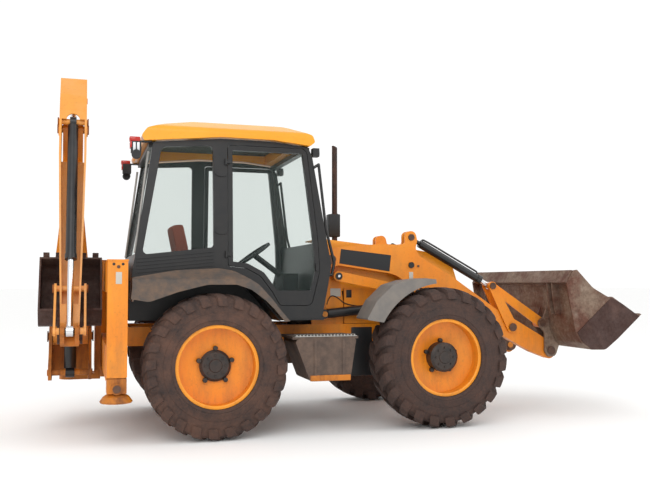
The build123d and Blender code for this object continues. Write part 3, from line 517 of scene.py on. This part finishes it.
def tyre_lugs(centre, radius, count, low, wide):
    # one leaned lug, ringed round on both sides, cut by the tyre's full outline
    bpy.ops.object.select_all(action="DESELECT")
    x, y, z = centre
    bpy.ops.mesh.primitive_cube_add(
        size=1, location=at(x, y + 0.112 + low / 2, z + radius - LUG_REACH / 2 + 0.006))
    bar = bpy.context.object
    bar.scale = (wide, LUG_LENGTH, LUG_REACH)
    bar.rotation_euler = (0, 0, LUG_LEAN)
    bpy.ops.object.transform_apply(location=True, rotation=True, scale=True)
    bpy.ops.object.mode_set(mode="EDIT")
    bpy.ops.mesh.select_all(action="SELECT")
    bpy.ops.mesh.bisect(plane_co=at(x, y + 0.010 + low, z), plane_no=(0, 1, 0), clear_inner=True,
        use_fill=True)
    bpy.ops.mesh.select_all(action="SELECT")
    bpy.ops.mesh.bevel(offset=0.006, segments=1, affect="EDGES")
    done()
    row = around(bar, centre, count)
    twin = copy_of(row)
    bpy.ops.transform.resize(value=(1, -1, 1), center_override=at(*centre))
    bpy.ops.transform.rotate(value=math.pi / count, orient_axis="Y", center_override=at(*centre))
    bpy.ops.object.transform_apply(location=True, rotation=True, scale=True)
    outwards()
    tread = joined([row, twin])
    outline = [(0.06, 0.30)] + [(out, radius - drop) for out, drop in TYRE_SECTION[7:]]
    outline = [(out + 0.004 if out else 0, height) for out, height in outline]
    other = [(-out, height) for out, height in reversed(outline[:-1])]
    envelope = lathe(outline + other + [outline[0]], centre, RING_STEPS)
    choose(tread)
    bpy.ops.object.modifier_add(type="BOOLEAN")
    cutter = tread.modifiers[-1]
    cutter.operation = "INTERSECT"
    cutter.object = envelope
    bpy.ops.object.modifier_apply(modifier=cutter.name)
    bpy.data.objects.remove(envelope)
    return tread


HUB_BOLTS = 8
HUB_BOLT_OUT = 0.092
HUB_STUDS = 5
HUB_STUD_OUT = 0.158

# Wheels: end, axle X, tyre radius, lug depth, lugs a side, where the lugs begin, lug width, hub's reach
WHEELS = (
    ("rear", 0.0, 0.655, 0.014, 24, 0.06, 0.070, 0.060),
    ("front", 2.220, 0.680, 0.038, 23, 0.0, 0.080, 0.150),
)
for end, axle_x, radius, depth, count, begin, wide, reach in WHEELS:
    centre = (axle_x, TRACK_HALF, radius)
    rubber = joined([tyre_lugs(centre, radius, count, begin, wide), tyre_shape(centre, radius, depth)])
    choose(rubber)
    bpy.ops.transform.resize(value=(1, -1, 1), center_override=(0, 0, 0))
    bpy.ops.object.transform_apply(location=True, rotation=True, scale=True)
    outwards()
    body = "wheel_" + end + "_right"
    twin = "wheel_" + end + "_left"
    settle(rubber, "tread_" + end, RUBBER if end == "front" else WORN_RUBBER, body, twin, 30,
        "tyre_" + end + "_right")
    hub_face = -TRACK_HALF - reach - 0.003
    centre = (axle_x, -TRACK_HALF, radius)
    hub = lathe([(-0.020, 0.143), (-reach + 0.014, 0.143), (-reach - 0.003, 0.120), (-reach - 0.003, 0.062),
                 (-reach - 0.010, 0.056), (-reach - 0.010, 0.0)], centre, 48)
    pieces = [hub]
    bolt = drum((axle_x, hub_face - 0.004, radius + HUB_BOLT_OUT), "Y", 0.010, 0.014, 0.0015, 6)
    pieces.append(around(bolt, centre, HUB_BOLTS))
    stud = drum((axle_x, -TRACK_HALF - 0.040, radius + HUB_STUD_OUT), "Y", 0.021, 0.052, 0.003, 20)
    pieces.append(around(stud, centre, HUB_STUDS))
    settle(joined(pieces), "hub_" + end, HUB, body, twin)
    lip = lathe([(-0.160, 0.344), (-0.181, 0.344), (-0.186, 0.352), (-0.184, 0.373), (-0.176, 0.373),
        (-0.160, 0.344)],
                centre, 72)
    settle(lip, "rim_lip_" + end, RIM_EDGE_HIGHLIGHT, body, twin)


# Small round pieces: name, centre, axis, radius, depth, sunk face, finish, body,
# body of the other side's twin
ROUNDS = (
    ("arm_pivot_cap", (1.262, -0.510, 1.640), "Y", 0.046, 0.014, 0.012, PIN, "chassis", "chassis"),
    ("level_rear_boss", (1.330, -0.542, 1.470), "Y", 0.036, 0.014, 0.0, BLACK, "chassis", "chassis"),
    ("level_rear_pin", (1.330, -0.552, 1.470), "Y", 0.014, 0.010, 0.0, CHROME, "chassis", "chassis"),
    ("level_front_boss", (2.200, -0.540, 1.300), "Y", 0.034, 0.012, 0.0, BLACK, "levelling_links",
     "levelling_links"),
    ("elbow_pin_cap", (2.147, -0.490, 1.880), "Y", 0.034, 0.012, 0.008, PIN, "loader_arms", "loader_arms"),
    ("elbow_coupling", (2.143, -0.494, 1.589), "Y", 0.031, 0.020, 0.010, BLACK, "loader_arms",
     "loader_arms"),
    ("elbow_stop", (2.223, -0.490, 1.579), "Y", 0.012, 0.012, 0.0, PIN, "loader_arms", "loader_arms"),
    ("lift_pin_cap", (2.400, -0.497, 1.200), "Y", 0.036, 0.012, 0.008, PIN, "loader_arms", "loader_arms"),
    ("lever_pin_cap", (3.318, -0.525, 0.923), "Y", 0.044, 0.012, 0.012, PIN, "loader_arms", "loader_arms"),
    ("bucket_pin_cap", (3.790, -0.525, 0.660), "Y", 0.046, 0.012, 0.012, PIN, "loader_arms", "loader_arms"),
    ("lever_end_cap", (3.083, -0.520, 1.370), "Y", 0.036, 0.010, 0.010, PIN, "tipping_levers",
     "tipping_levers"),
    ("link_pin_cap", (3.690, -0.517, 0.963), "Y", 0.038, 0.012, 0.010, PIN, "loader_bucket",
     "loader_bucket"),
    ("foot_pin_cap", (-0.867, -1.184, 0.495), "Y", 0.034, 0.010, 0.010, PIN, "stabiliser_right",
     "stabiliser_left"),
    # The two tube holes are near-black discs: painted shade for the holes' dark insides
    ("tube_hole_shade_back", (-0.902, -1.171, 1.563), "Y", 0.012, 0.004, 0.0, DARK, "chassis", "chassis"),
    ("tube_hole_shade_front", (-0.825, -1.171, 1.563), "Y", 0.012, 0.004, 0.0, DARK, "chassis", "chassis"),
    ("tube_bolt", (-0.863, -1.174, 1.540), "Y", 0.014, 0.010, 0.0, PIN, "chassis", "chassis"),
    ("rear_work_lamp", (-0.700, -0.795, 2.578), "Y", 0.042, 0.050, 0.008, TRIM, "chassis", "chassis"),
    ("front_lamp_lens", (1.058, -0.730, 2.682), "X", 0.030, 0.014, 0.0, CLEAR_LENS, "chassis", "chassis"),
)
for name, centre, axis, radius, depth, rim, recipe, body, twin in ROUNDS:
    settle(drum(centre, axis, radius, depth, 0.0015, 32, rim), name, recipe, body, twin)

# Pin ends on the hoe, each at plus and minus half from the arm's middle: name, half, Y, Z, radius, finish,
# body
HOE_PINS = (
    ("hoe_ram_pin", 0.139, -0.120, 2.970, 0.040, RUST_PIN, "dipper"),
    ("dipper_pivot_pin", 0.144, 0.000, 2.920, 0.046, RUST_PIN, "dipper"),
    ("side_lever_pin", 0.149, -0.576, 1.349, 0.038, RUST_PIN, "dipper"),
    ("side_lever_end_pin", 0.143, -0.845, 0.977, 0.036, RUST_PIN, "side_levers"),
    ("boom_pivot_pin", 0.219, 0.340, 0.860, 0.055, PIN, "kingpost"),
)
for name, half, y, z, radius, recipe, body in HOE_PINS:
    ends = [drum((HOE_X + side * half, y, z), "X", radius, 0.012, 0.0015, 32, 0.008) for side in (-1, 1)]
    settle(joined(ends), name, recipe, body)

# Blocks: name, low corner, high corner, eased edge, finish, body, body of the twin
BLOCKS = (
    ("elbow_plate", (2.120, -0.488, 1.443), (2.165, -0.484, 1.516), 0.0008, PALE, "loader_arms",
     "loader_arms"),
    ("tower_plate_light", (1.290, -0.3785, 1.262), (1.400, -0.3745, 1.345), 0.0008, PALE, "chassis",
     "chassis"),
    ("tower_plate_dark", (1.462, -0.3785, 1.250), (1.520, -0.3745, 1.330), 0.0008, DARK, "chassis",
     "chassis"),
    ("tube_plate", (-0.885, -1.173, 1.392), (-0.834, -1.169, 1.495), 0.0008, PALE, "chassis", "chassis"),
    ("lamp_red_top", (-0.762, -0.800, 2.700), (-0.665, -0.712, 2.742), 0.008, RED_LENS, "chassis",
     "chassis"),
    ("lamp_red_side", (-0.757, -0.797, 2.640), (-0.740, -0.700, 2.697), 0.004, RED_LENS, "chassis",
     "chassis"),
    ("lamp_clear_back", (-0.730, -0.797, 2.612), (-0.706, -0.787, 2.690), 0.003, CLEAR_LENS, "chassis",
     "chassis"),
    ("lamp_clear_front", (-0.695, -0.797, 2.612), (-0.671, -0.787, 2.690), 0.003, CLEAR_LENS, "chassis",
     "chassis"),
    ("exhaust_shield", (1.468, 0.236, 1.915), (1.600, 0.352, 2.170), 0.010, DARK, "chassis", None),
    ("rail_box", (1.515, -0.383, 0.443), (1.745, -0.300, 0.945), 0.010, DARK, "chassis", None),
    ("headliner", (-0.460, -0.630, 2.840), (0.820, 0.630, 2.858), 0.004, LINING, "chassis", None),
    ("tank_flange", (0.870, -1.108, 0.492), (1.262, -1.098, 0.545), 0.003, SOIL_AND_SHADE, "chassis", "chassis"),
    ("tank_strap_back", (0.905, -1.106, 0.500), (0.935, -1.099, 0.878), 0.002, TANK, "chassis", "chassis"),
    ("tank_strap_front", (1.180, -1.106, 0.500), (1.210, -1.099, 0.878), 0.002, TANK, "chassis", "chassis"),
    ("back_window_trim", (-0.712, -0.772, 1.676), (-0.690, -0.745, 1.700), 0.003, SILVER, "chassis",
     "chassis"),
)
for name, low, high, edge, recipe, body, twin in BLOCKS:
    settle(slab(low, high, edge), name, recipe, body, twin)

# Serrated tread along the step
STEP_TEETH = 18
TOOTH_PITCH = 0.033
tooth = slab((0.735, -1.104, 0.903), (0.747, -1.000, 0.922), 0.002)
row = [tooth]
for step in range(1, STEP_TEETH):
    twin = copy_of(tooth)
    bpy.ops.transform.translate(value=(TOOTH_PITCH * step, 0, 0))
    row.append(twin)
row.append(slab((0.722, -1.106, 0.902), (1.325, -0.998, 0.908), 0.001))
settle(joined(row), "step_tread", SILVER, "chassis", "chassis")

# Blank plates and wear plates: name, outline in X and Z, outer face, thickness, finish, body,
# body of the twin
PLATES = (
    ("arm_plate", ((1.370, 1.748), (1.918, 1.690), (1.900, 1.520), (1.352, 1.600)), -0.4875, 0.004, DARK,
     "loader_arms", "loader_arms"),
    ("side_wear_plate", ((3.762, 0.885), (3.900, 1.010), (4.180, 1.245), (4.300, 1.190), (4.525, 1.046),
     (4.256, 0.820),
     (4.100, 0.708), (3.926, 0.712), (3.828, 0.782)), -1.058, 0.010, WEAR, "loader_bucket",
     "loader_bucket"),
    ("bucket_rib_inner", ((3.728, 1.500), (3.652, 1.400), (3.668, 1.220), (3.700, 1.070), (3.790, 1.060),
     (3.740, 1.480)),
     -0.668, 0.016, BUCKET, "loader_bucket", "loader_bucket"),
    ("bucket_rib_outer", ((3.728, 1.500), (3.652, 1.400), (3.668, 1.220), (3.700, 1.070), (3.790, 1.060),
     (3.740, 1.480)),
     -0.758, 0.016, BUCKET, "loader_bucket", "loader_bucket"),
)
for name, corners, y, thick, recipe, body, twin in PLATES:
    settle(plate(corners, y, thick), name, recipe, body, twin)

# Top of the dipper: two plates that close it, the lower with a round cut-out, stood on the dipper's lean
# where the dipper begins, in Y and Z
HOE_PIVOT = (-0.660, 1.050)
DIPPER_LEAN = math.atan2(660, 1870)
CUT_RADIUS = 0.062
CUT_HEIGHT = 1.985
CUT_TURNS = [math.radians(turn) for turn in range(0, 181, 15)]
CUT_OUT = [
    (HOE_X + CUT_RADIUS * math.cos(turn), CUT_HEIGHT + CUT_RADIUS * math.sin(turn))
    for turn in CUT_TURNS
]
DIPPER_LEFT = -1.386
DIPPER_RIGHT = -1.134
PLATE_THICK = 0.016
TOP_LEAN = math.radians(16)
lower = plate(
    [(DIPPER_LEFT, CUT_HEIGHT)] + CUT_OUT[::-1]
    + [(DIPPER_RIGHT, CUT_HEIGHT), (DIPPER_RIGHT, 2.085), (DIPPER_LEFT, 2.085)],
    -0.199, PLATE_THICK)
upper = plate([(DIPPER_LEFT, 0), (DIPPER_RIGHT, 0), (DIPPER_RIGHT, 0.170), (DIPPER_LEFT, 0.170)], 0,
    PLATE_THICK)
choose(upper)
bpy.ops.transform.rotate(value=TOP_LEAN, orient_axis="X", center_override=(0, 0, 0))
bpy.ops.transform.translate(value=(0, -0.198, 2.080))
bpy.ops.object.transform_apply(location=True, rotation=True, scale=True)
top_plate = joined([lower, upper])
choose(top_plate)
bpy.ops.transform.rotate(value=DIPPER_LEAN, orient_axis="X", center_override=(0, 0, 0))
bpy.ops.transform.translate(value=(0, HOE_PIVOT[0], HOE_PIVOT[1]))
settle(top_plate, "dipper_top_plate", FADED, "dipper")

# Bent pipes and fixed hoses: name, points, radius, finish, body, body of the twin
PIPES = (
    ("crowd_pipe", ((2.270, -0.435, 1.800), (2.285, -0.435, 1.862), (2.330, -0.435, 1.848),
     (2.600, -0.435, 1.702),
     (2.900, -0.435, 1.540), (2.945, -0.435, 1.515), (2.925, -0.435, 1.470)), 0.010, TUBE, "crowd_barrels",
     "crowd_barrels"),
    ("tower_hose", ((1.250, -0.3805, 1.180), (1.275, -0.3805, 1.275), (1.360, -0.3805, 1.262),
     (1.470, -0.3805, 1.160),
     (1.760, -0.3805, 1.150)), 0.005, HOSE, "chassis", "chassis"),
    ("back_window_strip", ((-0.700, -0.768, 1.690), (-0.642, -0.742, 2.160), (-0.588, -0.722, 2.620)),
     0.011, SILVER,
     "chassis", "chassis"),
)
for name, points, radius, recipe, body, twin in PIPES:
    settle(pipe(points, radius), name, recipe, body, twin)


# Seat: a pedestal, a padded cushion and a padded back
def pad(low, high, turn, crown):
    # a crowned cushion: a block cut up, pulled towards a ball and smoothed
    bpy.ops.object.select_all(action="DESELECT")
    middle = [(a + b) / 2 for a, b in zip(low, high)]
    size = [b - a for a, b in zip(low, high)]
    bpy.ops.mesh.primitive_cube_add(size=1, location=(0, 0, 0))
    edit()
    bpy.ops.mesh.subdivide(number_cuts=7)
    bpy.ops.mesh.select_all(action="SELECT")
    bpy.ops.transform.tosphere(value=crown)
    piece = done()
    piece.scale = size
    piece.rotation_euler = (0, turn, 0)
    piece.location = at(*middle)
    bpy.ops.object.transform_apply(location=True, rotation=True, scale=True)
    bpy.ops.object.modifier_add(type="SUBSURF")
    smooth = piece.modifiers[-1]
    smooth.levels = 1
    smooth.render_levels = 1
    bpy.ops.object.modifier_apply(modifier=smooth.name)
    return outwards()


pedestal = joined([slab((-0.150, -0.150, 1.076), (0.150, 0.150, 1.200), 0.008),
                   slab((-0.125, -0.125, 1.200), (0.125, 0.125, 1.300), 0.006),
                   slab((-0.200, -0.200, 1.300), (0.220, 0.200, 1.330), 0.006)])
settle(pedestal, "seat_pedestal", TRIM, "chassis", None, 35, "seat")
cushion = pad((-0.232, -0.250, 1.330), (0.272, 0.250, 1.452), math.radians(-2), 0.16)
settle(cushion, "seat_cushion", CLOTH, "chassis", None, 60, "seat")
back = pad((-0.262, -0.245, 1.430), (-0.140, 0.245, 1.985), math.radians(-12), 0.14)
settle(back, "seat_back", BACK_CLOTH, "chassis", None, 60, "seat")


# Camera, as fitted to the photo, and soft studio light
CAMERA_PLACE = (-1.19, -8.30, 1.40)
CAMERA_TURN = (math.radians(92.6), 0, math.radians(-17))
bpy.ops.object.camera_add(location=at(*CAMERA_PLACE), rotation=CAMERA_TURN)
camera = bpy.context.object
camera.data.lens = 44.6
camera.data.sensor_width = 36
bpy.context.scene.camera = camera
bpy.context.scene.view_settings.view_transform = "Standard"

bpy.ops.mesh.primitive_plane_add(size=400, location=(0, 0, -0.002))
floor = bpy.context.object
floor.name = "floor"
ground = Recipe("pale floor", None)
ground.constant(Base_Color=srgb("FDFDFC"), Roughness=0.95)
dress(floor, ground)

LIGHTS = (
    # place, size, power
    ((-4, -9, 7), 6, 300),
    ((7, -5, 8), 6, 160),
    ((0, 8, 9), 7, 90),
)
for place, size, power in LIGHTS:
    bpy.ops.object.light_add(type="AREA", location=place)
    lamp = bpy.context.object
    lamp.data.size = size
    lamp.data.energy = power
    aim = bpy.context.scene.cursor.location - lamp.location
    lamp.rotation_euler = aim.to_track_quat("-Z", "Y").to_euler()

world = bpy.data.worlds.new("white studio")
bpy.context.scene.world = world
world.use_nodes = True
sky = world.node_tree.nodes["Background"]
path = world.node_tree.nodes.new("ShaderNodeLightPath")
level = world.node_tree.nodes.new("ShaderNodeMapRange")
# full white where the camera sees the background, a little softer as a source of light
level.inputs["To Min"].default_value = 1.0
level.inputs["To Max"].default_value = 1.05
world.node_tree.links.new(path.outputs["Is Camera Ray"], level.inputs["Value"])
world.node_tree.links.new(level.outputs["Result"], sky.inputs["Strength"])
sky.inputs["Color"].default_value = (1, 1, 1, 1)
